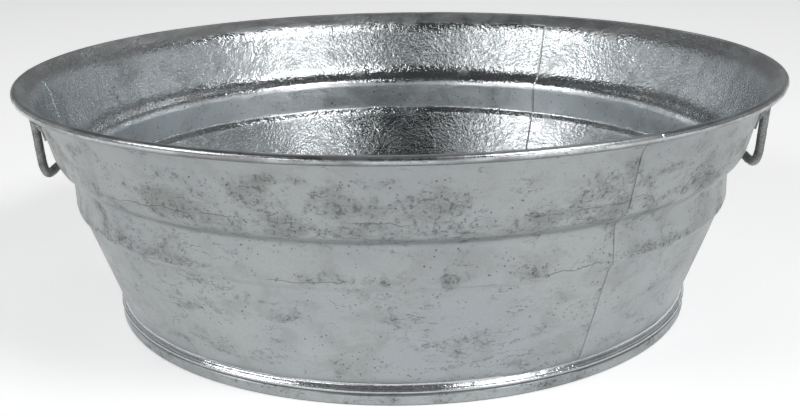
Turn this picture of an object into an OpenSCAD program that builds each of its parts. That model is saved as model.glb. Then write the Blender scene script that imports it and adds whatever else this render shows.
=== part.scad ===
// Round hot-dip galvanised steel tub: three wall panels with a wired rim, a seamed bottom,
// and two wire bails that hang from bracket ears under the rim.
// The origin is on the tub's axis at the floor, +Z is up and -Y is the front.

/* [Tub] */
// Diameter over the rolled rim
rim_d = 445; // [443:0.5:448]
// Height from the floor to the top of the rim
height = 140; // [139:0.5:142]
// Diameter over the foot seam
foot_d = 345; // [340:1:350]
// Thickness of the wall sheet
sheet = 0.7; // [0.6:0.05:0.8]
// Thickness of the bottom sheet
bottom_sheet = 0.75; // [0.6:0.05:0.9]

/* [Wall steps, at the middle of the sheet] */
// Radius at the top of the lower cone
lower_cone_r = 190.1; // [188:0.1:191]
// Height of the top of the lower cone
lower_cone_z = 67; // [62:0.5:69]
// Radius of the upright band between the two steps
band_r = 192.8; // [192:0.1:194]
// Height of the bottom of the band
band_low_z = 70.5; // [70:0.5:74]
// Height of the top of the band
band_high_z = 90.7; // [86:0.1:92]
// Radius at the foot of the upper cone
upper_cone_r = 201.6; // [200:0.1:202.5]
// Height of the foot of the upper cone
upper_cone_z = 97.7; // [96:0.1:99]
// Radius where the rim starts to flare
flare_r = 210.2; // [209.8:0.1:210.6]
// Height where the rim starts to flare
flare_z = 131; // [130.5:0.1:131.5]

/* [Seams] */
// Panels that make up the wall
panels = 3; // [3:1:3]
// Direction of the first seam, in degrees from +X
first_seam = -58.5; // [-70:0.5:-45]
// How far each panel's tongue reaches behind its neighbour, in degrees
lap = 3; // [2:0.5:4]

/* [Rim] */
// Diameter of the wire inside the rolled rim
rim_wire_d = 3.4; // [3:0.1:3.6]

/* [Bails] */
// Diameter of the bail wire
bail_wire_d = 5.2; // [4.8:0.1:5.4]
// Distance of the bail's plane from the tub's axis
bail_x = 207; // [206.8:0.1:208]
// Height of the pivot
pivot_z = 127; // [126:0.5:127.5]
// Half the bail's width at the pivot, between the corners of its centreline
pivot_half = 48.7; // [47:0.1:49]
// Half the bail's width at the grip, between the corners of its centreline
grip_half = 37.5; // [34:0.1:40]
// Height of the grip's centreline
grip_z = 82.2; // [80:0.1:86]
// Bend radius at the pivot, on the centreline
pivot_bend = 4; // [3.5:0.5:4.5]
// Bend radius at the grip's corners, on the centreline
grip_bend = 15; // [10:0.5:16]
// Distance from the middle of the bail to the end of each pin
pin_end = 58.5; // [57:0.5:61]
// Radial clearance of a pin in its ear
pin_clearance = 0.05; // [0.02:0.01:0.08]

/* [Ears] */
// Thickness of an ear's plate
ear_sheet = 1.4; // [1.2:0.1:1.5]
// Distance from the middle of the bail to the near face of an ear's tab
tab_y = 52.2; // [52.1:0.1:53]
// Radius of the tab round the pin
tab_r = 4.6; // [4.2:0.1:4.7]
// Height of the lower edge of the ear
ear_low_z = 111; // [106:1:114]
// Height of the upper edge of the ear's foot plate
ear_high_z = 128.5; // [124:0.5:129]
// Distance from the middle of the bail to the far edge of the ear
ear_far_y = 66; // [63:1:71]

/* [Hidden] */
$fn = 96;

zinc = [0.66, 0.68, 0.69];
dull_zinc = [0.42, 0.43, 0.43];

seam_gap = 0.1;
panel_angle = 360 / panels;

// Rim roll: the sheet turns round the wire, and its free edge stops short of the flare.
roll_r = rim_wire_d / 2 + seam_gap + sheet;
roll_mid_r = roll_r - sheet / 2;
roll_at = [rim_d / 2 - roll_r, height - roll_r];
to_roll = roll_at - [flare_r, flare_z];
flare_angle = atan2(to_roll[1], to_roll[0]) + asin(roll_mid_r / norm(to_roll));
roll_start = flare_angle + 90;
roll_end = -155;
roll_steps = 20;

// Foot seam: the bottom's edge is a channel that the wall's hem stands in.
channel_out_r = foot_d / 2;
hem_r = channel_out_r - bottom_sheet - seam_gap - sheet / 2;
channel_in_r = hem_r - sheet / 2 - seam_gap - bottom_sheet;
hem_low_z = bottom_sheet + 0.2;
hem_high_z = 6.3;
hem_in = 1.9;
hem_rise = 2.3;
floor_z = 6.5;
edge_round = 0.5;
foot_bead_r = 1;
foot_bead_z = 7.6;
foot_bead_at = [channel_out_r - foot_bead_r / 2, foot_bead_z];

// Radii of the roundings at the steps of the wall and at the flare, and flats in each rounding.
step_round = 4;
flare_round = 20;
round_steps = 4;

// The tongue leaves out the roll and the hem, which meet end to end.
tongue_low_z = 12;
tongue_high_z = 128;
joggle = 0.35;

// Bent wire: how much thicker it is, and how far the straight wire runs on into it.
bend_swell = 0.1;
bend_overlap = 0.4;

function unit(v) = v / norm(v);
function left_of(v) = [-v[1], v[0]];
function on_circle(c, r, a) = c + r * [cos(a), sin(a)];

// Miter vector at point i of an open line: a step of 1 to its left keeps both sides parallel.
function miter(p, i) =
    let (n = len(p) - 1)
    let (before = left_of(unit(i == 0 ? p[1] - p[0] : p[i] - p[i - 1])))
    let (after = left_of(unit(i == n ? p[n] - p[n - 1] : p[i + 1] - p[i])))
    let (both = before + after)
    2 * both / (both * both);
function shifted(p, d) = [for (i = [0 : len(p) - 1]) p[i] + d * miter(p, i)];
function backwards(p) = [for (i = [len(p) - 1 : -1 : 0]) p[i]];

// Points of a rounding of radius r at b, between the lines a-b and b-c.
function rounding(a, b, c, r) =
    let (u = unit(a - b), v = unit(c - b))
    let (half = acos(u * v) / 2)
    let (centre = b + unit(u + v) * r / sin(half))
    let (from = b + u * r / tan(half) - centre, to = b + v * r / tan(half) - centre)
    [for (k = [0 : round_steps]) centre + r * unit(from + (to - from) * k / round_steps)];

// Middle line of the wall sheet, from the hem up to the end of the rim roll.
wall_corners = [
    [hem_r, hem_low_z],
    [hem_r, hem_high_z],
    [hem_r - hem_in, hem_high_z + hem_rise],
    [lower_cone_r, lower_cone_z],
    [band_r, band_low_z],
    [band_r, band_high_z],
    [upper_cone_r, upper_cone_z],
    [flare_r, flare_z],
    on_circle(roll_at, roll_mid_r, roll_start)
];
// Rounding at each inner corner of the wall, in the same order.
corner_rounds = [0.4, 0.8, 1.6, 1.6, step_round, step_round, flare_round];
wall_line = [
    wall_corners[0],
    for (i = [1 : len(wall_corners) - 2], q = rounding(
        wall_corners[i - 1], wall_corners[i], wall_corners[i + 1], corner_rounds[i - 1])) q
];
roll_line = [
    for (k = [0 : roll_steps])
        on_circle(roll_at, roll_mid_r, roll_start + (roll_end - roll_start) * k / roll_steps)
];
tongue_line = [for (q = wall_line) if (q[1] > tongue_low_z && q[1] < tongue_high_z) q];

// Outer radius of the upper cone at height z.
cone_slope = (flare_r - upper_cone_r) / (flare_z - upper_cone_z);
function cone_r(z) =
    upper_cone_r + (z - upper_cone_z) * cone_slope + sheet / 2 * norm([1, cone_slope]);

// The lines below run upward, so their left side is the inside of the tub.
module strip(p, inside, outside) polygon(concat(shifted(p, inside), backwards(shifted(p, -outside))));

module turned(start, angle) rotate_extrude(start = start, angle = angle) children();

// Wall panel k: the sheet itself, and a tongue that steps in behind the panel before it.
module panel(k) {
    start = first_seam + k * panel_angle;
    color(zinc)
        union() {
            turned(start, panel_angle) strip(concat(wall_line, roll_line), sheet / 2, sheet / 2);
            turned(start + joggle / 4, joggle) strip(tongue_line, sheet * 1.2 + seam_gap, 0);
            turned(start - lap, lap + joggle)
                strip(tongue_line, sheet * 1.5 + seam_gap, -sheet / 2 - seam_gap);
        }
}

module right_panel() { panel(0); }
module back_panel() { panel(1); }
module front_panel() { panel(2); }

// Wire that stiffens the rim, closed inside the roll.
module rim_wire() {
    color(dull_zinc)
        rotate_extrude() translate([roll_at[0], roll_at[1]]) circle(d = rim_wire_d);
}

// Bottom: a recessed floor whose edge goes down, turns up round the hem and ends in a bead.
module bottom_panel() {
    inner_face = channel_in_r + bottom_sheet;
    outer_face = channel_out_r - bottom_sheet;
    bead_from = -acos((channel_out_r - foot_bead_at[0]) / foot_bead_r);
    bead_to = 360 - acos((outer_face - foot_bead_at[0]) / foot_bead_r);
    bead_steps = 14;
    outline = [
        [0, floor_z - bottom_sheet],
        [channel_in_r - edge_round, floor_z - bottom_sheet],
        [channel_in_r, floor_z - bottom_sheet - edge_round],
        [channel_in_r, edge_round],
        [channel_in_r + edge_round, 0],
        [channel_out_r - edge_round, 0],
        [channel_out_r, edge_round],
        for (k = [0 : bead_steps])
            on_circle(foot_bead_at, foot_bead_r, bead_from + (bead_to - bead_from) * k / bead_steps),
        [outer_face, bottom_sheet],
        [inner_face, bottom_sheet],
        [inner_face, floor_z - edge_round],
        [inner_face - edge_round, floor_z],
        [0, floor_z]
    ];
    color(zinc) rotate_extrude() polygon(outline);
}

// Solid body of the tub's outside near an ear, used to trim the ear to the wall.
module wall_outside(gap) {
    near = [for (q = wall_line) if (q[1] > upper_cone_z - 1) q];
    skin = shifted(near, -sheet / 2 - gap);
    turned(5, 25) polygon(concat([[180, skin[0][1]]], skin, [[180, skin[len(skin) - 1][1]]]));
}

// Ear for the +X, +Y end of a bail: a foot plate on the wall and a tab with the pivot hole.
module ear() {
    gap = 0.05;
    plate = [for (z = [ear_low_z, ear_high_z]) [cone_r(z), z]];
    near_a = asin((tab_y + ear_sheet / 2) / cone_r(ear_low_z));
    far_a = asin(ear_far_y / cone_r(ear_high_z));
    root_x = 192;
    tab = [
        [root_x, ear_low_z],
        [root_x, pivot_z + tab_r - 1],
        [bail_x + tab_r * cos(100), pivot_z + tab_r * sin(100)],
        [bail_x + tab_r * cos(-35), pivot_z + tab_r * sin(-35)],
        [cone_r(ear_low_z) * cos(near_a) + ear_sheet, ear_low_z]
    ];
    color(dull_zinc)
        difference() {
            union() {
                turned(near_a, far_a - near_a) strip(plate, -gap, gap + ear_sheet);
                translate([0, tab_y + ear_sheet, 0])
                    rotate([90, 0, 0]) linear_extrude(ear_sheet) polygon(tab);
                translate([bail_x, tab_y + ear_sheet, pivot_z])
                    rotate([90, 0, 0]) cylinder(r = tab_r, h = ear_sheet);
            }
            wall_outside(gap);
            translate([bail_x, tab_y + 2 * ear_sheet, pivot_z])
                rotate([90, 0, 0]) cylinder(d = bail_wire_d + 2 * pin_clearance, h = 3 * ear_sheet);
        }
}

module right_rear_ear() { ear(); }
module right_front_ear() { mirror([0, 1, 0]) ear(); }
module left_rear_ear() { mirror([1, 0, 0]) ear(); }
module left_front_ear() { mirror([1, 0, 0]) mirror([0, 1, 0]) ear(); }

// Straight piece of bail wire from a to b, in the plane of the bail, running on into the bends.
module wire(a, b) {
    run = b - a;
    from = a - unit(run) * bend_overlap;
    translate([from[0], from[1], 0])
        rotate([0, 0, atan2(run[1], run[0])])
        rotate([0, 90, 0]) cylinder(d = bail_wire_d, h = norm(run) + 2 * bend_overlap);
}

// Bent piece of bail wire round centre c. It is a little thicker, so the straight ends sit in it.
module bend(c, radius, start, angle) {
    translate([c[0], c[1], 0])
        rotate_extrude(start = start, angle = angle)
        translate([radius, 0]) circle(d = bail_wire_d + bend_swell);
}

// Half of a bail in its own plane: x runs along the pivot from the bail's middle, y is height.
module half_bail() {
    lean = atan2(pivot_half - grip_half, pivot_z - grip_z);
    turn = 90 - lean;
    pivot_cut = pivot_bend * tan(turn / 2);
    grip_cut = grip_bend * tan(turn / 2);
    top = [pivot_half, pivot_z];
    low = [grip_half, grip_z];
    leg = unit(low - top);
    wire([0, grip_z], low - [grip_cut, 0]);
    bend(low + [-grip_cut, grip_bend], grip_bend, -90, turn);
    wire(low - leg * grip_cut, top + leg * pivot_cut);
    bend(top + [pivot_cut, -pivot_bend], pivot_bend, 90, turn);
    wire(top + [pivot_cut, 0], [pin_end, pivot_z]);
}

module bail() {
    color(dull_zinc)
        translate([bail_x, 0, 0])
        rotate([90, 0, 90])
        union() {
            half_bail();
            mirror([1, 0, 0]) half_bail();
        }
}

module right_bail() { bail(); }
module left_bail() { mirror([1, 0, 0]) bail(); }

front_panel();
right_panel();
back_panel();
rim_wire();
bottom_panel();
left_front_ear();
left_rear_ear();
right_front_ear();
right_rear_ear();
left_bail();
right_bail();
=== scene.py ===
import math

import bpy
import numpy as np
from mathutils import Matrix, Vector


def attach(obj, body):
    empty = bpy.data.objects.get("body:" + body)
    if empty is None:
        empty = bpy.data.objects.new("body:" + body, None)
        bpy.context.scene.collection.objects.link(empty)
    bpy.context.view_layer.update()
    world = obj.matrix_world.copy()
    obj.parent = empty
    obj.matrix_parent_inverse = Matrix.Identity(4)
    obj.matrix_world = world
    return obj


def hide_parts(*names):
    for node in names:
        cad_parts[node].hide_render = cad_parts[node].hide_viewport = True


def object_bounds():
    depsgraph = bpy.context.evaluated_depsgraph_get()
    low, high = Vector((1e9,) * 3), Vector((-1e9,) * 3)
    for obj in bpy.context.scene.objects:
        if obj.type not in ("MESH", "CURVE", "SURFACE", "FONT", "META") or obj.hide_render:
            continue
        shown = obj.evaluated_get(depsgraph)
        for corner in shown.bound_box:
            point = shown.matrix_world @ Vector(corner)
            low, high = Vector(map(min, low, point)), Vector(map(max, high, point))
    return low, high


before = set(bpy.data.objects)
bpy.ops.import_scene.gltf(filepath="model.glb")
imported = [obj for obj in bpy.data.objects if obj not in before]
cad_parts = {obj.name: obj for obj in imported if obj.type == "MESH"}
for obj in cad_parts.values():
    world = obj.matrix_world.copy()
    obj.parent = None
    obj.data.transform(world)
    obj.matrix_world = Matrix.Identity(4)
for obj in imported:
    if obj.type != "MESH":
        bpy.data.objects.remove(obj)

# Round galvanised tub. Lengths are millimetres until build_mesh() turns them into metres, but the
# materials, the lights and the camera use metres.
# Angles are degrees from +X, so the front is at -90. +Z is up.

CAD_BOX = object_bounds()
MM = 0.001

# ---------------------------------------------------------------- driving dimensions

RIM_R = CAD_BOX[1][0] / MM
HEIGHT = CAD_BOX[1][2] / MM
SHEET = 0.7
BOTTOM_SHEET = 0.75
SEAM_GAP = 0.1

CAD_ROLL_R = 2.5
ROLL_R = 2.3
ROLL_END = -155
ROLL_AT = np.array([RIM_R - CAD_ROLL_R, HEIGHT - CAD_ROLL_R])

# Three panels, each with a tongue that laps behind the panel before it.
FIRST_SEAM = -58.5
PANEL_ANGLE = 120
LAP = 3.0
TONGUE_LOW, TONGUE_HIGH = 12, 134
TONGUE_OVERLAP = 0.3

# The wall's middle line from the ground up: hem, lower cone, upright band, upper cone, flare.
HEM_LOW, HEM_HIGH = 0.95, 6.3
HEM_R = 171.3
LOWER_CONE = (190.1, 67.0)
BAND_R = 192.8
BAND_LOW, BAND_HIGH = 70.5, 90.7
UPPER_CONE = (201.6, 97.7)
FLARE = (210.2, 131.0)
FLARE_ROUND = 20

# The foot is the bottom's edge, folded over the wall's hem, with a bead on top of the fold.
FOOT_OUT_R = 172.5
FOOT_IN_R = 170.1
FOOT_INNER_FACE = FOOT_IN_R + BOTTOM_SHEET
FLAT_R = 60
FLOOR_Z = 6.5
FOOT_BEAD_R = 1.0
FOOT_BEAD = np.array([FOOT_OUT_R - FOOT_BEAD_R / 2, 7.6])

# The zinc in the groove over the foot's bead: from the bead up the wall, then back inside both.
FILLET_LINE = np.array([(172.45, 8.3), (172.2, 8.75), (171.9, 9.15), (171.55, 9.45), (171.2, 9.75),
                        (170.95, 10.15), (170.8, 10.7), (170.7, 11.3), (170.0, 11.1), (169.8, 8.6),
                        (170.8, 7.6)])

# A bail in its own plane, as half widths and heights, and the drips of zinc on its grip.
BAIL_X = 207.0
PIVOT_Z, GRIP_Z = 127.0, 82.2
PIVOT_HALF, GRIP_HALF = 48.7, 37.5
PIVOT_BEND, GRIP_BEND = 4.0, 15.0
PIN_END = 58.5
IN_EAR = (50.5, 52.0)
WIRE_R = 2.6
WIRE_SIDES = 30
DRIPS = ((-21, 0.35), (12, 0.25), (27, 0.45))

# Level cracks in the outside zinc: height in metres and strength.
CRACKS = ((0.104, 1.0), (0.0715, 0.8), (0.0945, 0.7))

# The camera, in metres and radians, and half the width of the studio's floor.
EYE_DISTANCE = 3.0705 * RIM_R * MM
EYE_HEIGHT = 1.866 * HEIGHT * MM
PITCH, ROLL_TILT, YAW = 0.3026, -0.0172, -0.0014
LENS, SENSOR = 51.76, 36
FLOOR_HALF = 6.0


# ---------------------------------------------------------------- numbers

def smooth(low, high, x):
    """0 below low, 1 above high and a soft curve between."""
    t = np.clip((x - low) / (high - low), 0, 1)
    return t * t * (3 - 2 * t)


def bump_at(x, centre, width):
    """A soft hump of height 1 at centre."""
    return np.exp(-((x - centre) / width) ** 2)


def lattice_noise(points, cell, seed):
    """Smooth random values from -1 to 1 at 3D points, which vary over cells of this size."""
    scaled = points / cell
    base = np.floor(scaled).astype(np.int64)
    part = scaled - base
    part = part ** 3 * (part * (6 * part - 15) + 10)
    total = np.zeros(points.shape[:-1])
    for corner in np.ndindex(2, 2, 2):
        cell_id = base + corner
        key = (cell_id[..., 0] * 73856093) ^ (cell_id[..., 1] * 19349663)
        key = (key ^ (cell_id[..., 2] * 83492791) ^ (seed * 961748927)) & 0xFFFFFFFF
        key = ((key ^ (key >> 15)) * 2246822519) & 0xFFFFFFFF
        key = ((key ^ (key >> 13)) * 3266489917) & 0xFFFFFFFF
        value = ((key ^ (key >> 16)) & 0xFFFF) / 32767.5 - 1
        total += np.prod(np.where(corner, part, 1 - part), axis=-1) * value
    return total


def layered_noise(points, cell, seed, layers=3):
    """Noise at this cell size with finer layers of half the strength on top."""
    return sum(lattice_noise(points, cell / 2 ** k, seed + k) / 2 ** k for k in range(layers))


# ---------------------------------------------------------------- lines in section

def unit(v):
    return v / np.linalg.norm(v)


def rounding(a, b, c, radius, steps):
    """Points of a rounding at b, between the lines a-b and b-c."""
    u, v = unit(a - b), unit(c - b)
    half = math.acos(float(u @ v)) / 2
    centre = b + unit(u + v) * radius / math.sin(half)
    first = b + u * radius / math.tan(half) - centre
    last = b + v * radius / math.tan(half) - centre
    turns = np.linspace(0, 1, steps + 1)[:, None]
    rays = first + (last - first) * turns
    return centre + radius * rays / np.linalg.norm(rays, axis=1)[:, None]


def rounded_line(corners, radii, steps=6):
    """An open line through the corners, with its inner corners rounded."""
    corners = [np.array(c, float) for c in corners]
    parts = [corners[:1]]
    for i, radius in enumerate(radii):
        parts.append(rounding(*corners[i:i + 3], radius, steps))
    return np.vstack(parts + [corners[-1:]])


def with_steps(line, longest):
    """The same line with extra points, so that no stretch is longer than this."""
    out = [line[0]]
    for a, b in zip(line, line[1:]):
        count = max(1, math.ceil(np.linalg.norm(b - a) / longest))
        out += [a + (b - a) * k / count for k in range(1, count + 1)]
    return np.array(out)


def left_normals(line):
    """The normal on the left of the line at each of its points."""
    along = np.gradient(line, axis=0)
    along /= np.linalg.norm(along, axis=1)[:, None]
    return np.column_stack([-along[:, 1], along[:, 0]])


def graded(length, fine, coarse, growth=1.3):
    """Steps from 0 to length that are fine at both ends and coarse between."""
    steps, step = [], fine
    while step < coarse and sum(steps) < length / 4:
        steps.append(step)
        step *= growth
    middle = length - 2 * sum(steps)
    count = max(1, math.ceil(middle / coarse))
    return np.concatenate([[0], np.cumsum(steps + [middle / count] * count + steps[::-1])])


def on_circle(centre, radius, degrees):
    turn = np.radians(degrees)
    return centre + radius * np.stack([np.cos(turn), np.sin(turn)], -1)


# ---------------------------------------------------------------- meshes

def build_mesh(name, points, faces, body, slot, materials, face_material=None, **weights):
    """A smooth mesh piece from points in millimetres, with named weights at its points."""
    mesh = bpy.data.meshes.new(name)
    mesh.from_pydata((points.reshape(-1, 3) * MM).tolist(), [], faces)
    for material in materials:
        mesh.materials.append(material)
    if face_material is not None:
        mesh.polygons.foreach_set("material_index", np.asarray(face_material, np.int32))
    for label, values in weights.items():
        weight = mesh.attributes.new(label, "FLOAT", "POINT")
        weight.data.foreach_set("value", np.ravel(values).astype(np.float32))
    mesh.validate()
    mesh.shade_smooth()
    mesh.set_sharp_from_angle(angle=math.radians(50))
    piece = bpy.data.objects.new(name, mesh)
    bpy.context.scene.collection.objects.link(piece)
    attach(piece, body)
    return piece


def grid_faces(rows, columns, wrap_rows=False, wrap_columns=False):
    """Quads of a grid whose points are stored row by row."""
    row = np.arange(rows if wrap_rows else rows - 1)
    column = np.arange(columns if wrap_columns else columns - 1)
    r, c = np.meshgrid(row, column, indexing="ij")
    r2, c2 = (r + 1) % rows, (c + 1) % columns
    quads = np.stack([r * columns + c, r * columns + c2, r2 * columns + c2, r2 * columns + c], -1)
    return quads.reshape(-1, 4)


def turned(section, degrees):
    """Points of a section at each angle: one row for each point of the section."""
    turn = np.radians(degrees)
    r, z = section[..., 0], section[..., 1]
    if section.ndim == 2:
        r, z = r[:, None], z[:, None]
    z = np.broadcast_to(z, np.broadcast_shapes(z.shape, turn.shape))
    return np.stack([r * np.cos(turn), r * np.sin(turn), z], -1)


def push_out(points, distance, degrees):
    """Moves turned points away from the axis by this distance."""
    turn = np.radians(degrees)
    points[..., 0] += distance * np.cos(turn)
    points[..., 1] += distance * np.sin(turn)


def two_sided(line, left, right, degrees):
    """Points and faces of a sheet that lies from right to left of a turned line.

    The rows of points run up its outer side and back down its inner side. The last faces close its
    first and last column.
    """
    normal = left_normals(line)
    inner = line[:, None, :] + normal[:, None, :] * left[..., None]
    outer = line[:, None, :] + normal[:, None, :] * right[..., None]
    points = turned(np.concatenate([outer, inner[::-1]]), degrees)
    count, columns = left.shape
    row = np.arange(count - 1)
    near, far = row * columns, (2 * count - 1 - row) * columns
    strip = np.stack([near, far, far - columns, near + columns], -1)
    end_strip = (strip + columns - 1)[:, ::-1]
    faces = np.concatenate([grid_faces(2 * count, columns, wrap_rows=True), strip, end_strip])
    return points.reshape(-1, 3), faces


# ---------------------------------------------------------------- materials

class Tree:
    """Short calls that build the nodes of one material."""

    def __init__(self, name):
        self.material = bpy.data.materials.new(name)
        self.material.use_nodes = True
        self.nodes = self.material.node_tree.nodes
        self.links = self.material.node_tree.links
        self.nodes.clear()
        self.shader = self.add("ShaderNodeBsdfPrincipled")
        output = self.add("ShaderNodeOutputMaterial")
        self.links.new(self.shader.outputs[0], output.inputs["Surface"])
        self.place = self.add("ShaderNodeTexCoord").outputs["Object"]

    def add(self, kind, inputs=None, **settings):
        node = self.nodes.new(kind)
        for key, value in settings.items():
            setattr(node, key, value)
        for key, value in (inputs or {}).items():
            self.plug(value, node.inputs[key])
        return node

    def plug(self, value, socket):
        if isinstance(value, bpy.types.NodeSocket):
            self.links.new(value, socket)
        else:
            socket.default_value = value

    def set(self, **values):
        """Plugs values into the shader's sockets; an underscore stands for a space."""
        for key, value in values.items():
            self.plug(value, self.shader.inputs[key.replace("_", " ")])

    def stretched(self, x, y, z):
        return self.add("ShaderNodeVectorMath", {0: self.place, 1: (x, y, z)},
                        operation="MULTIPLY").outputs[0]

    def noise(self, scale, detail=3.0, rough=0.55, warp=0.0, at=None):
        return self.add("ShaderNodeTexNoise", {
            "Vector": at or self.place, "Scale": scale, "Detail": detail,
            "Roughness": rough, "Distortion": warp}).outputs["Fac"]

    def cells(self, scale):
        return self.add("ShaderNodeTexVoronoi",
                        {"Vector": self.place, "Scale": scale}).outputs["Distance"]

    def weight(self, name):
        return self.add("ShaderNodeAttribute", attribute_name=name).outputs["Fac"]

    def fit(self, value, low, high, to_low=0.0, to_high=1.0):
        """value from low..high to to_low..to_high, clamped, with soft ends."""
        return self.add("ShaderNodeMapRange", {
            "Value": value, "From Min": low, "From Max": high, "To Min": to_low, "To Max": to_high},
            interpolation_type="SMOOTHSTEP").outputs[0]

    def calc(self, operation, a, b=0.0):
        return self.add("ShaderNodeMath", {0: a, 1: b}, operation=operation).outputs[0]

    def product(self, *values):
        total = values[0]
        for value in values[1:]:
            total = self.calc("MULTIPLY", total, value)
        return total

    def blend(self, fac, a, b):
        """Colour a where fac is 0, going over to b."""
        mix = self.add("ShaderNodeMix", data_type="RGBA")
        for value, index in ((fac, 0), (a, 6), (b, 7)):
            value = (*value, 1.0) if isinstance(value, tuple) else value
            self.plug(value, mix.inputs[index])
        return mix.outputs[2]

    def bumps(self, *layers):
        """Bump maps laid over each other: each layer is (height, strength, depth in metres)."""
        normal = None
        for height, strength, depth in layers:
            node = self.add("ShaderNodeBump", {"Height": height, "Strength": strength,
                                               "Distance": depth})
            if normal is not None:
                self.links.new(normal, node.inputs["Normal"])
            normal = node.outputs[0]
        return normal


def zinc_outside():
    """Weathered matt zinc: soft mottles, dark speckled stains, pits and fine level cracks, with painted
    shade towards the top and in creases and a painted highlight on the foot's bead.
    """
    t = Tree("zinc_outside")
    grime = t.weight("grime")
    ridge_shine_and_painted_highlight = t.weight("rim")
    painted_shade = t.weight("painted_shade")
    level = t.stretched(1, 1, 1.5)
    clouds = t.noise(17, detail=3, rough=0.5)
    blotches = t.noise(48, detail=5, rough=0.6, warp=0.5, at=level)
    mottle = t.noise(380, detail=4, rough=0.65, warp=0.4)
    grain = t.noise(950, detail=2)
    height = t.add("ShaderNodeSeparateXYZ", {0: t.place}).outputs["Z"]

    colour = t.blend(t.fit(clouds, 0.38, 0.62), (0.40, 0.424, 0.43), (0.362, 0.388, 0.403))
    # Painted shade: the outside is darker towards the top of the wall and lighter low down.
    colour = t.blend(t.fit(height, 0.04, 0.12, 0.0, 0.24), colour, (0.25, 0.258, 0.256))
    colour = t.blend(t.fit(blotches, 0.46, 0.66, 0, 0.55), colour, (0.33, 0.34, 0.33))
    colour = t.blend(t.fit(grain, 0.35, 0.7, 0, 0.2), colour, (0.26, 0.27, 0.27))

    where = t.calc("ADD", t.noise(42, detail=5, rough=0.62, warp=0.5, at=level), t.product(grime, 0.11))
    where = t.calc("ADD", where, t.fit(height, 0.05, 0.11, -0.055, 0.0))
    stains = t.fit(where, 0.50, 0.72)
    colour = t.blend(t.product(stains, 0.48), colour, (0.20, 0.213, 0.203))
    specks = t.product(t.fit(mottle, 0.53, 0.62), t.fit(where, 0.45, 0.62))
    colour = t.blend(t.product(specks, 0.58), colour, (0.085, 0.093, 0.086))

    pits = t.product(t.fit(t.cells(430), 0.10, 0.30, 1, 0), t.fit(mottle, 0.42, 0.56),
                     t.fit(t.calc("ADD", t.noise(70, detail=3), t.product(grime, 0.08)), 0.46, 0.58))
    colour = t.blend(t.product(pits, 0.85), colour, (0.07, 0.078, 0.08))

    flat = t.stretched(1, 1, 3.2)
    crack = t.calc("ABSOLUTE", t.calc("SUBTRACT", t.noise(26, detail=6, rough=0.6, at=flat), 0.5))
    crack = t.product(t.fit(crack, 0.0, 0.008, 1, 0), t.fit(t.noise(33, detail=2), 0.54, 0.60))
    wander = t.product(t.calc("SUBTRACT", t.noise(14, detail=6, rough=0.62), 0.5), 0.022)
    wandering = t.calc("ADD", height, wander)
    for place, strength in CRACKS:
        line = t.calc("ABSOLUTE", t.calc("SUBTRACT", wandering, place))
        line = t.product(t.fit(line, 0.0, 0.0004, strength, 0), t.fit(t.noise(21, detail=3), 0.46, 0.54))
        crack = t.calc("MAXIMUM", crack, line)
    colour = t.blend(t.product(crack, 0.75), colour, (0.08, 0.085, 0.08))
    craze = t.calc("ABSOLUTE", t.calc("SUBTRACT", t.noise(120, detail=4, rough=0.6, at=flat), 0.5))
    craze = t.product(t.fit(craze, 0.0, 0.03, 1, 0), t.fit(where, 0.48, 0.62))
    colour = t.blend(t.product(craze, 0.4), colour, (0.11, 0.115, 0.105))
    # Painted highlight: the foot's bead and the zinc fillet (the rim weight) get a lighter colour; their
    # lower roughness below is real shine.
    colour = t.blend(t.product(ridge_shine_and_painted_highlight, 0.9), colour, (0.62, 0.64, 0.66))
    # Painted shade: dark lines in the foot's undercut, a painted contact shadow along the bottom edge
    # and a dark line on the wall over the fillet.
    colour = t.blend(t.product(painted_shade, 0.75), colour, (0.06, 0.065, 0.065))

    rough = t.calc("ADD", t.fit(blotches, 0.35, 0.7, 0.36, 0.50), t.product(stains, 0.12))
    rough = t.calc("SUBTRACT", rough, t.product(ridge_shine_and_painted_highlight, 0.24))
    relief = t.calc("SUBTRACT", mottle, t.product(pits, 0.8))
    t.set(Base_Color=colour, Roughness=rough, Metallic=0.9,
          Normal=t.bumps((blotches, 0.5, 0.0010), (relief, 0.35, 0.0004), (crack, -0.3, 0.0003)))
    return t.material


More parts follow.
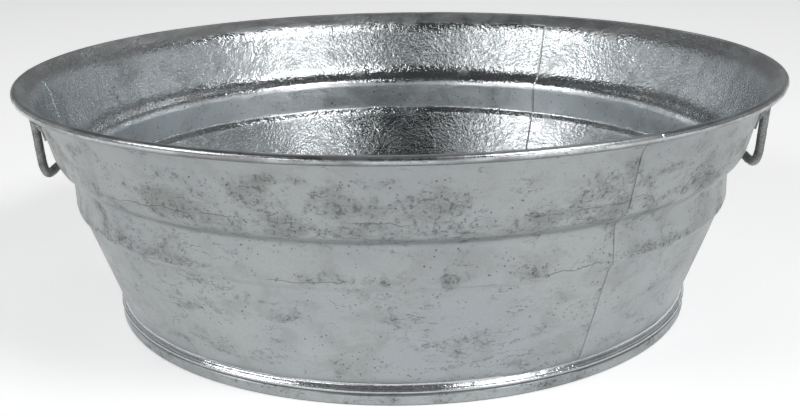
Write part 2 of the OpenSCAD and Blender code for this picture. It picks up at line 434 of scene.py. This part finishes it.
def zinc_inside():
    """Bright, lumpy zinc that mirrors roughly, calmer and painted lighter on the upright band, duller
    and partly painted darker on the rim, with painted shade low down and under the roll.
    """
    t = Tree("zinc_inside")
    rim = t.weight("rim")
    lip = t.weight("lip")
    painted_shade = t.weight("painted_shade")
    grime = t.weight("grime")
    clouds = t.noise(16, detail=3, rough=0.55)
    blotches = t.noise(60, detail=4, rough=0.6, warp=0.5)
    lumps = t.noise(170, detail=3, rough=0.6, warp=0.2, at=t.stretched(1, 1, 1.2))
    fine = t.noise(460, detail=3, rough=0.6, at=t.stretched(1, 1, 1.2))
    height = t.add("ShaderNodeSeparateXYZ", {0: t.place}).outputs["Z"]
    from_band = t.calc("ABSOLUTE", t.calc("SUBTRACT", height, (BAND_LOW + BAND_HIGH) / 2 * MM))
    lumpy = t.product(t.fit(from_band, 0.008, 0.013, 0.35, 1.0), t.fit(rim, 0, 1, 1.0, 0.25),
                      t.fit(height, 0.064, 0.071, 0.7, 1.0), t.fit(height, 0.007, 0.012, 0.5, 1.0))

    colour = t.blend(t.fit(clouds, 0.38, 0.62), (0.72, 0.75, 0.765), (0.62, 0.655, 0.67))
    colour = t.blend(t.fit(blotches, 0.48, 0.68, 0, 0.7), colour, (0.50, 0.525, 0.53))
    # Painted shade: the lower cone and the floor inside are darker.
    colour = t.blend(t.fit(height, 0.064, 0.071, 0.75, 0.0), colour, (0.36, 0.38, 0.39))
    # Painted light: the upright band inside is lighter.
    colour = t.blend(t.fit(from_band, 0.008, 0.0115, 0.8, 0.0), colour, (0.84, 0.87, 0.89))
    where = t.calc("ADD", t.noise(30, detail=4, rough=0.6), t.product(grime, 0.12))
    dull = t.product(t.fit(where, 0.52, 0.76), t.fit(fine, 0.35, 0.65, 0.4, 1))
    colour = t.blend(t.product(dull, 0.6), colour, (0.30, 0.315, 0.31))
    flecks = t.fit(t.noise(600, detail=2, rough=0.5), 0.64, 0.72)
    colour = t.blend(t.product(flecks, 0.7), colour, (0.14, 0.15, 0.155))
    streaks = t.noise(90, detail=5, rough=0.65, at=t.stretched(0.3, 0.3, 1.5))
    # The rim roll is darker in streaks: partly streaky worn zinc, partly painted shade.
    colour = t.blend(t.product(rim, t.fit(streaks, 0.42, 0.62, 0.25, 0.9)), colour, (0.25, 0.255, 0.258))
    # The flare's top and the roll's top are darker in streaks: partly duller, streaky zinc, partly
    # painted shade.
    colour = t.blend(t.product(lip, t.fit(streaks, 0.38, 0.60, 0.5, 0.9)), colour, (0.33, 0.336, 0.338))
    # Painted shade under the rim roll.
    colour = t.blend(t.product(painted_shade, 0.8), colour, (0.11, 0.115, 0.115))

    rough = t.calc("ADD", t.fit(blotches, 0.4, 0.65, 0.12, 0.24), t.product(dull, 0.16))
    rough = t.calc("ADD", rough, t.calc("ADD", t.product(lip, 0.22), t.product(rim, 0.06)))
    rough = t.calc("ADD", rough, t.fit(from_band, 0.008, 0.0115, 0.16, 0.0))
    t.set(Base_Color=colour, Roughness=rough, Metallic=1.0,
          Normal=t.bumps((t.product(lumps, lumpy), 0.45, 0.0010), (t.product(fine, lumpy), 0.8, 0.0007)))
    return t.material


def dull_zinc(name, light, dark):
    """Dark, dull, grainy zinc of the wires and ears."""
    t = Tree(name)
    mottle = t.noise(160, detail=5, rough=0.7, warp=0.5)
    grain = t.noise(1500, detail=3)
    scuffs = t.noise(420, detail=3, rough=0.6)
    colour = t.blend(t.fit(mottle, 0.35, 0.68), light, dark)
    colour = t.blend(t.fit(grain, 0.42, 0.66, 0, 0.6), colour, (0.06, 0.06, 0.058))
    colour = t.blend(t.fit(scuffs, 0.60, 0.72, 0, 0.65), colour, (0.46, 0.47, 0.46))
    t.set(Base_Color=colour, Roughness=t.fit(mottle, 0.3, 0.7, 0.42, 0.60), Metallic=0.8,
          Normal=t.bumps((mottle, 0.5, 0.0010), (grain, 0.35, 0.0003)))
    return t.material


def studio_floor():
    """Pale, plain and matt, and lit a little from below like a light table."""
    t = Tree("studio_floor")
    t.set(Base_Color=(0.86, 0.86, 0.86, 1), Roughness=0.7,
          Emission_Color=(1, 1, 1, 1), Emission_Strength=0.46)
    return t.material


OUTSIDE = zinc_outside()
INSIDE = zinc_inside()
BAIL_ZINC = dull_zinc("bail_zinc", (0.34, 0.352, 0.345), (0.18, 0.19, 0.185))
EAR_ZINC = dull_zinc("ear_zinc", (0.40, 0.42, 0.42), (0.26, 0.27, 0.27))


# ---------------------------------------------------------------- wall panels

def wall_line():
    """Middle line of the sheet in two parts: the wall from the hem up, and then the rim roll."""
    reach = ROLL_AT - FLARE
    roll_mid = ROLL_R - SHEET / 2
    flare = math.degrees(math.atan2(reach[1], reach[0]) + math.asin(roll_mid / np.linalg.norm(reach)))
    start = flare + 90
    corners = [(HEM_R, HEM_LOW), (HEM_R, HEM_HIGH), (HEM_R - 1.9, HEM_HIGH + 2.3), LOWER_CONE,
               (BAND_R, BAND_LOW), (BAND_R, BAND_HIGH), UPPER_CONE, FLARE,
               on_circle(ROLL_AT, roll_mid, start)]
    wall = rounded_line(corners, [0.4, 0.8, 2.2, 2.2, 7, 16, FLARE_ROUND], steps=10)
    roll = on_circle(ROLL_AT, roll_mid, np.linspace(start, ROLL_END, 34))
    return with_steps(wall, 1.7), roll[1:]


WALL, ROLL = wall_line()
SEAMS = [FIRST_SEAM + k * PANEL_ANGLE for k in range(3)]


def sheet_wave(points):
    """How far the sheet is pushed out of true, in millimetres."""
    return 0.45 * lattice_noise(points, 75, 11) + 0.22 * layered_noise(points, 28, 12, 2)


def wall_grime(z, seam_distance):
    """Where dirt gathers on the outside: over both steps, under the rim and left of a seam."""
    steps = 0.9 * bump_at(z, 101, 5) + 0.8 * bump_at(z, 73.5, 3) + 0.35 * bump_at(z, 112, 10)
    return np.clip(steps + 0.9 * np.exp(-seam_distance / 5) - 1.2 * smooth(124, 130, z), -1, 1.5)


def panel_body(start):
    """Points, faces and weights of a panel's own sheet, between one seam and the next."""
    length = math.radians(PANEL_ANGLE) * BAND_R
    along = graded(length, 0.14, 1.7)
    degrees = start + along / length * PANEL_ANGLE
    line = np.vstack([WALL, ROLL])
    count = len(line)
    on_roll = smooth(0, 6, np.arange(count) - len(WALL) + 3)[:, None]
    z = line[:, 1][:, None]

    middle = turned(line, degrees)
    free = smooth(4, 14, z) * (1 - on_roll)
    wave = sheet_wave(middle) * free
    before, after = along[None, :], length - along[None, :]
    edge = np.minimum(before, after)
    worn = 0.25 * np.exp(-(edge / 0.3) ** 2)
    lift = 0.22 * np.exp(-before / 2.5) * (1 - on_roll) * smooth(4, 14, z)
    roll_bump = 0.16 * on_roll * (np.exp(-before / 3.5) + np.exp(-after / 3.5))
    rough_in = 0.10 * lattice_noise(middle, 8, 21) + 0.05 * lattice_noise(middle, 3.6, 22)
    rough_out = 0.05 * layered_noise(middle, 12, 31, 2)

    left = SHEET / 2 + wave + rough_in * (1 - 0.75 * on_roll) - worn * on_roll + roll_bump
    right = -SHEET / 2 + wave - rough_out - lift * (1 - on_roll) + worn * (1 - on_roll)
    points, faces = two_sided(line, left, right, degrees)
    # The sheet's two long edges, at the end of the roll and under the hem, count as inside.
    is_inner = np.repeat(np.arange(2 * count) >= count - 1, len(degrees) - 1).astype(int)
    material = np.concatenate([is_inner, np.zeros(len(faces) - len(is_inner), int)])

    heights = np.broadcast_to(z, left.shape)
    dirt = wall_grime(heights, np.broadcast_to(after, heights.shape))
    inner_dirt = 0.5 * bump_at(heights, 94, 4) + 0.4 * bump_at(heights, 68, 4)
    rim = np.broadcast_to(on_roll, heights.shape)
    place_on_roll = np.degrees(np.arctan2(*(ROLL - ROLL_AT).T[::-1]))
    lip = np.concatenate([smooth(130, 135, WALL[:, 1]), smooth(20, 75, place_on_roll)])
    lip = np.broadcast_to(lip[:, None], heights.shape)
    # Painted shade: under the rim roll inside, and a dark line on the wall just over the foot's zinc
    # fillet.
    roll_underside_shade = np.concatenate([np.zeros(len(WALL)), 1 - smooth(-50, 5, place_on_roll)])
    roll_underside_shade = np.broadcast_to(roll_underside_shade[:, None], heights.shape)
    fillet_top_shade = 0.6 * bump_at(heights, 11.4, 0.5)
    both_sides = {"grime": (dirt, inner_dirt), "rim": (rim, rim), "lip": (lip, lip),
                  "painted_shade": (fillet_top_shade, roll_underside_shade)}
    weights = {key: np.concatenate([out, into[::-1]]).ravel() for key, (out, into) in both_sides.items()}
    return points, faces, material, weights


def panel_tongue(start):
    """The panel's tongue, which reaches behind the panel before it and thins out to its edges."""
    line = np.array([q for q in WALL if TONGUE_LOW < q[1] < TONGUE_HIGH])
    spread = LAP + TONGUE_OVERLAP
    length = math.radians(spread) * BAND_R
    along = graded(length, 0.14, 1.2)
    degrees = start - LAP + along / length * spread
    middle = turned(line, degrees)
    wave = sheet_wave(middle)
    rough = 0.09 * lattice_noise(middle, 7, 23)
    run = np.arange(len(line)) * 0.3
    edge = np.minimum(np.minimum(run, run[::-1])[:, None], along[None, :])
    share = np.clip(edge / 0.9, 0, 1)
    full = np.sqrt(share * (2 - share))
    left = SHEET / 2 + 0.03 + (SHEET + SEAM_GAP) * full + wave + rough
    right = SHEET / 2 - 0.25 + wave
    points, faces = two_sided(line, left, right, degrees)
    grime = np.zeros((2 * len(line), len(degrees)))
    grime[:, :6] = 0.8  # along the tongue's free edge
    plain = np.zeros(len(points))
    return points, faces, {"grime": grime.ravel(), "rim": plain, "lip": plain, "painted_shade": plain}


def wall_panel(name, start):
    """One of the three panels: its sheet and its tongue in one mesh."""
    points, faces, material, weights = panel_body(start)
    more, tongue_faces, tongue_weights = panel_tongue(start)
    all_faces = np.concatenate([faces, tongue_faces + len(points)])
    materials = np.concatenate([material, np.ones(len(tongue_faces), int)])
    weights = {key: np.concatenate([weights[key], tongue_weights[key]]) for key in weights}
    piece = build_mesh(name + "_sheet", np.concatenate([points, more]), all_faces.tolist(), "tub",
                       "galvanised_sheet", [OUTSIDE, INSIDE], materials, **weights)
    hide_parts(name)


# ---------------------------------------------------------------- bottom

def foot_section():
    """The bottom's line in section: out along its underside, round the foot, back along the floor."""
    bead_start = -math.degrees(math.acos((FOOT_OUT_R - FOOT_BEAD[0]) / FOOT_BEAD_R))
    outer_face = FOOT_OUT_R - BOTTOM_SHEET
    bead_end = 360 - math.degrees(math.acos((outer_face - FOOT_BEAD[0]) / FOOT_BEAD_R))
    bead = on_circle(FOOT_BEAD, FOOT_BEAD_R, np.linspace(bead_start, bead_end, 26))
    under = rounded_line([(FLAT_R, FLOOR_Z - BOTTOM_SHEET), (FOOT_IN_R, FLOOR_Z - BOTTOM_SHEET),
                          (FOOT_IN_R, 0), (FOOT_OUT_R, 0), (FOOT_OUT_R, 5.3), (171.95, 6.05),
                          tuple(bead[0])], [1.2, 0.6, 1.1, 0.5, 0.4])
    over = rounded_line([tuple(bead[-1]), (outer_face, BOTTOM_SHEET), (FOOT_INNER_FACE, BOTTOM_SHEET),
                         (FOOT_INNER_FACE, FLOOR_Z), (FLAT_R, FLOOR_Z)], [0.1, 0.1, 0.6])
    middle_rings = np.array([(r, 0.0) for r in (48, 36, 24, 12, 4)])
    low = middle_rings + (0, FLOOR_Z - BOTTOM_SHEET)
    high = middle_rings + (0, FLOOR_Z)
    return np.vstack([low[::-1], with_steps(under, 2.2), bead[1:-1], with_steps(over, 2.2), high])


def bottom():
    """The recessed floor, and the foot seam folded from its edge."""
    section = foot_section()
    degrees = np.arange(0, 360, 0.75)
    points = turned(section, degrees)
    r, z = section[:, 0][:, None], section[:, 1][:, None]

    band = smooth(172.0, 172.4, r) * smooth(0.4, 1.5, z)
    nearest = np.min([np.abs((degrees - s + 180) % 360 - 180) for s in SEAMS], axis=0)
    thick = 0.28 * np.exp(-(nearest / 2.0) ** 4)[None, :]
    level = points * (1, 1, 0)
    sag = 0.5 * lattice_noise(level, 90, 41) + 0.12 * lattice_noise(level, 25, 42) - 0.4
    lumps = 0.05 * lattice_noise(points, 5, 43)
    points[..., 2] += sag * (1 - smooth(150, 168, r))
    push_out(points, band * (thick + 0.12 * lattice_noise(points, 30, 44) + lumps), degrees)

    rows, columns = points.shape[:2]
    faces = grid_faces(rows, columns, wrap_columns=True)[:, ::-1].tolist()
    faces.append(list(range(columns)))
    faces.append(list(range((rows - 1) * columns, rows * columns))[::-1])
    on_floor = (section[:-1, 1] >= FLOOR_Z - 0.5) & (section[:-1, 0] < FOOT_INNER_FACE + 0.05)
    material = np.concatenate([on_floor.repeat(columns).astype(int), [0, 1]])
    # Painted shade: a dark line in the undercut under the bead, and a painted contact shadow along the
    # bottom edge.
    painted_shade = smooth(171, 171.5, r) * (bump_at(z, 6.2, 0.45) + bump_at(z, 0.2, 0.5))
    # The rim weight gives the foot's bead a painted highlight in zinc_outside.
    by_row = {"grime": 0.6 * smooth(0, 1.5, z) * band, "rim": bump_at(z, 8.2, 0.8) * band,
              "painted_shade": painted_shade}
    weights = {key: np.broadcast_to(value, (rows, columns)) for key, value in by_row.items()}
    piece = build_mesh("bottom_and_foot_seam", points, faces, "tub", "galvanised_bottom",
                       [OUTSIDE, INSIDE], material, **weights)
    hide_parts("bottom_panel")


def foot_fillet():
    """Shiny zinc that fills the groove between the wall and the foot's bead; its lighter colour is a
    painted highlight.
    """
    degrees = np.arange(0, 360, 0.5)
    points = turned(FILLET_LINE, degrees)
    push_out(points, 0.14 * layered_noise(points, 9, 61, 3), degrees)
    faces = grid_faces(*points.shape[:2], wrap_rows=True, wrap_columns=True)[:, ::-1].tolist()
    build_mesh("foot_zinc_fillet", points, faces, "tub", "galvanised_bottom", [OUTSIDE],
               rim=np.ones(points.shape[:2]))


# ---------------------------------------------------------------- bails

def bail_path():
    """Centreline of a bail in its own plane, from the rear pin's end to the front one."""
    corners = [(PIN_END, PIVOT_Z), (PIVOT_HALF, PIVOT_Z), (GRIP_HALF, GRIP_Z),
               (-GRIP_HALF, GRIP_Z), (-PIVOT_HALF, PIVOT_Z), (-PIN_END, PIVOT_Z)]
    radii = [PIVOT_BEND, GRIP_BEND, GRIP_BEND, PIVOT_BEND]
    return with_steps(rounded_line(corners, radii, steps=12), 0.9)


def bail(name, side):
    """A bent wire with the lumps and runs that dipping leaves on it."""
    path = bail_path()
    normal = left_normals(path)
    count = len(path)
    run = np.concatenate([[0], np.cumsum(np.linalg.norm(np.diff(path, axis=0), axis=1))])
    to_end = np.clip(np.minimum(run, run[-1] - run) / 1.2, 0, 1)
    tip = np.sqrt(np.clip(1 - (1 - to_end) ** 2, 0.02, 1))
    turn = np.linspace(0, 2 * math.pi, WIRE_SIDES, endpoint=False)
    across = np.broadcast_to(side * np.cos(turn), (count, WIRE_SIDES))
    rays = np.stack([across, np.sin(turn) * normal[:, :1], np.sin(turn) * normal[:, 1:]], -1)
    centre = np.column_stack([np.full(count, side * BAIL_X), path])[:, None, :]
    plain = centre + WIRE_R * rays
    in_ear = smooth(*IN_EAR, np.abs(path[:, 0]))[:, None]
    lumps = 0.10 * layered_noise(plain, 6, 51, 3)
    below = smooth(0.2, 1.0, (centre[..., 2] - plain[..., 2]) / WIRE_R)
    drips = sum(height * bump_at(path[:, 0], y, 2.2)[:, None] * below for y, height in DRIPS)
    radius = WIRE_R * tip[:, None] + (lumps - 0.04 + drips) * (1 - in_ear) - 0.03 * in_ear
    points = centre + radius[..., None] * rays
    faces = grid_faces(count, WIRE_SIDES, wrap_columns=True).tolist()
    faces.append(list(range(WIRE_SIDES))[::-1])
    faces.append(list(range((count - 1) * WIRE_SIDES, count * WIRE_SIDES)))
    if side < 0:
        faces = [face[::-1] for face in faces]
    piece = build_mesh(name + "_wire", points, faces, name, "galvanised_bails", [BAIL_ZINC])
    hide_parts(name)


# ---------------------------------------------------------------- ears and rim wire

def finish_cad_node(name, material, bevel=0.0):
    """A CAD node keeps its shape, with a better material and softer edges."""
    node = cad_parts[name]
    node.data.materials.clear()
    node.data.materials.append(material)
    if bevel:
        soften = node.modifiers.new("soft_edges", "BEVEL")
        soften.width = bevel
        soften.segments = 3
        soften.limit_method = "ANGLE"
        soften.angle_limit = math.radians(40)


# ---------------------------------------------------------------- studio

def area_light(name, place, aim, size, power):
    """A soft rectangular light that faces the aim, with its size in metres and power in watts."""
    light = bpy.data.lights.new(name, "AREA")
    light.shape = "RECTANGLE"
    light.size, light.size_y = size
    light.energy = power
    lamp = bpy.data.objects.new(name, light)
    lamp.location = place
    lamp.rotation_euler = (Vector(aim) - Vector(place)).to_track_quat("-Z", "Y").to_euler()
    bpy.context.scene.collection.objects.link(lamp)


def studio_air():
    """Air with a light band low down and dark above it; at the sides the band lies a little higher."""
    world = bpy.data.worlds.new("studio_air")
    world.use_nodes = True
    nodes, links = world.node_tree.nodes, world.node_tree.links
    direction = nodes.new("ShaderNodeSeparateXYZ")
    links.new(nodes.new("ShaderNodeTexCoord").outputs["Generated"], direction.inputs[0])
    across = nodes.new("ShaderNodeMath")
    across.operation = "MULTIPLY"
    for socket in across.inputs[:2]:
        links.new(direction.outputs["X"], socket)
    mix = nodes.new("ShaderNodeMix")
    mix.data_type = "RGBA"
    links.new(across.outputs[0], mix.inputs[0])
    middle = ((0.0, 0.56), (0.26, 0.30), (0.36, 0.01), (1.0, 0.06))
    sides = ((0.0, 0.05), (0.22, 0.60), (0.60, 0.26), (1.0, 0.08))
    for stops, socket in ((middle, mix.inputs[6]), (sides, mix.inputs[7])):
        ramp = nodes.new("ShaderNodeValToRGB")
        links.new(direction.outputs["Z"], ramp.inputs[0])
        elements = ramp.color_ramp.elements
        for place, _ in stops[1:-1]:
            elements.new(place)
        for element, (place, level) in zip(elements, stops):
            element.color = (0.95 * level, 0.98 * level, level, 1)
        links.new(ramp.outputs[0], socket)
    links.new(mix.outputs[2], nodes["Background"].inputs["Color"])
    return world


def studio():
    """Pale floor, air and soft lights."""
    scene = bpy.context.scene
    mesh = bpy.data.meshes.new("studio_floor")
    corners = [(x * FLOOR_HALF, y * FLOOR_HALF, 0) for x, y in ((-1, -1), (1, -1), (1, 1), (-1, 1))]
    mesh.from_pydata(corners, [], [(0, 1, 2, 3)])
    mesh.materials.append(studio_floor())
    floor = bpy.data.objects.new("studio_floor", mesh)
    scene.collection.objects.link(floor)

    scene.world = studio_air()

    area_light("right_softbox", (1.07, -1.48, 0.52), (0, 0, 0.1), (0.92, 0.40), 3.6)
    area_light("left_softbox", (-0.95, -1.56, 0.52), (0, 0, 0.1), (0.60, 0.40), 2.0)
    area_light("right_high_light", (0.95, -0.95, 1.5), (0, -0.1, 0), (0.6, 0.5), 14)
    area_light("left_high_light", (-1.55, -0.78, 1.20), (0, 0, 0.1), (0.9, 0.62), 12)
    area_light("back_softbox", (0.2, 1.7, 2.0), (0, 0, 0), (1.8, 1.2), 7)
    scene.view_settings.view_transform = "Standard"


def camera():
    """Stands in front of the tub and looks down into it a little."""
    scene = bpy.context.scene
    forward = Vector((math.sin(YAW) * math.cos(PITCH), math.cos(YAW) * math.cos(PITCH),
                      -math.sin(PITCH)))
    right = Vector((math.cos(YAW), -math.sin(YAW), 0))
    up = right.cross(forward)
    turned_right = right * math.cos(ROLL_TILT) + up * math.sin(ROLL_TILT)
    turned_up = up * math.cos(ROLL_TILT) - right * math.sin(ROLL_TILT)
    data = bpy.data.cameras.new("camera")
    data.sensor_width = SENSOR
    data.lens = LENS
    eye = bpy.data.objects.new("camera", data)
    rotation = [(turned_right[i], turned_up[i], -forward[i]) for i in range(3)]
    eye.matrix_world = Matrix([(*rotation[0], 0), (*rotation[1], -EYE_DISTANCE),
                               (*rotation[2], EYE_HEIGHT), (0, 0, 0, 1)])
    scene.collection.objects.link(eye)
    scene.camera = eye


studio()
camera()
for panel_name, seam in zip(("right_panel", "back_panel", "front_panel"), SEAMS):
    wall_panel(panel_name, seam)
bottom()
foot_fillet()
bail("left_bail", -1)
bail("right_bail", 1)
for ear_name in ("left_front_ear", "left_rear_ear", "right_front_ear", "right_rear_ear"):
    finish_cad_node(ear_name, EAR_ZINC, bevel=0.25 * MM)
finish_cad_node("rim_wire", EAR_ZINC)
